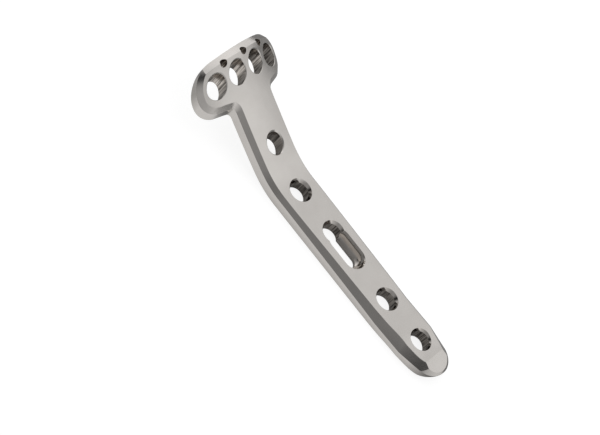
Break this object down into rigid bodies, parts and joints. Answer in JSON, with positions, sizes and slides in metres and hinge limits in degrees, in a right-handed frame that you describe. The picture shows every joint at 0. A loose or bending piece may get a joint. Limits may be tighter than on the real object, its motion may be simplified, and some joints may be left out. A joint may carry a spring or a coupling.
{
  "type": "orthopedic bone plate",
  "caption": "T-shaped metal bone plate with a bent neck, crowned head, round screw holes, one combined slot and small wire holes.",
  "frame": {"origin": "on the flat run of the underside, midway between the second shaft hole and the slot", "axes": "+Y along the shaft from the tip to the head, +X across, +Z away from the bone"},
  "size_m": [0.0276, 0.0882, 0.0181],
  "materials": {
    "implant_steel": "satin, bead blasted and polished on its edges"
  },
  "bodies": {
    "root": {"bone_plate": "implant_steel"}
  },
  "joints": []
}
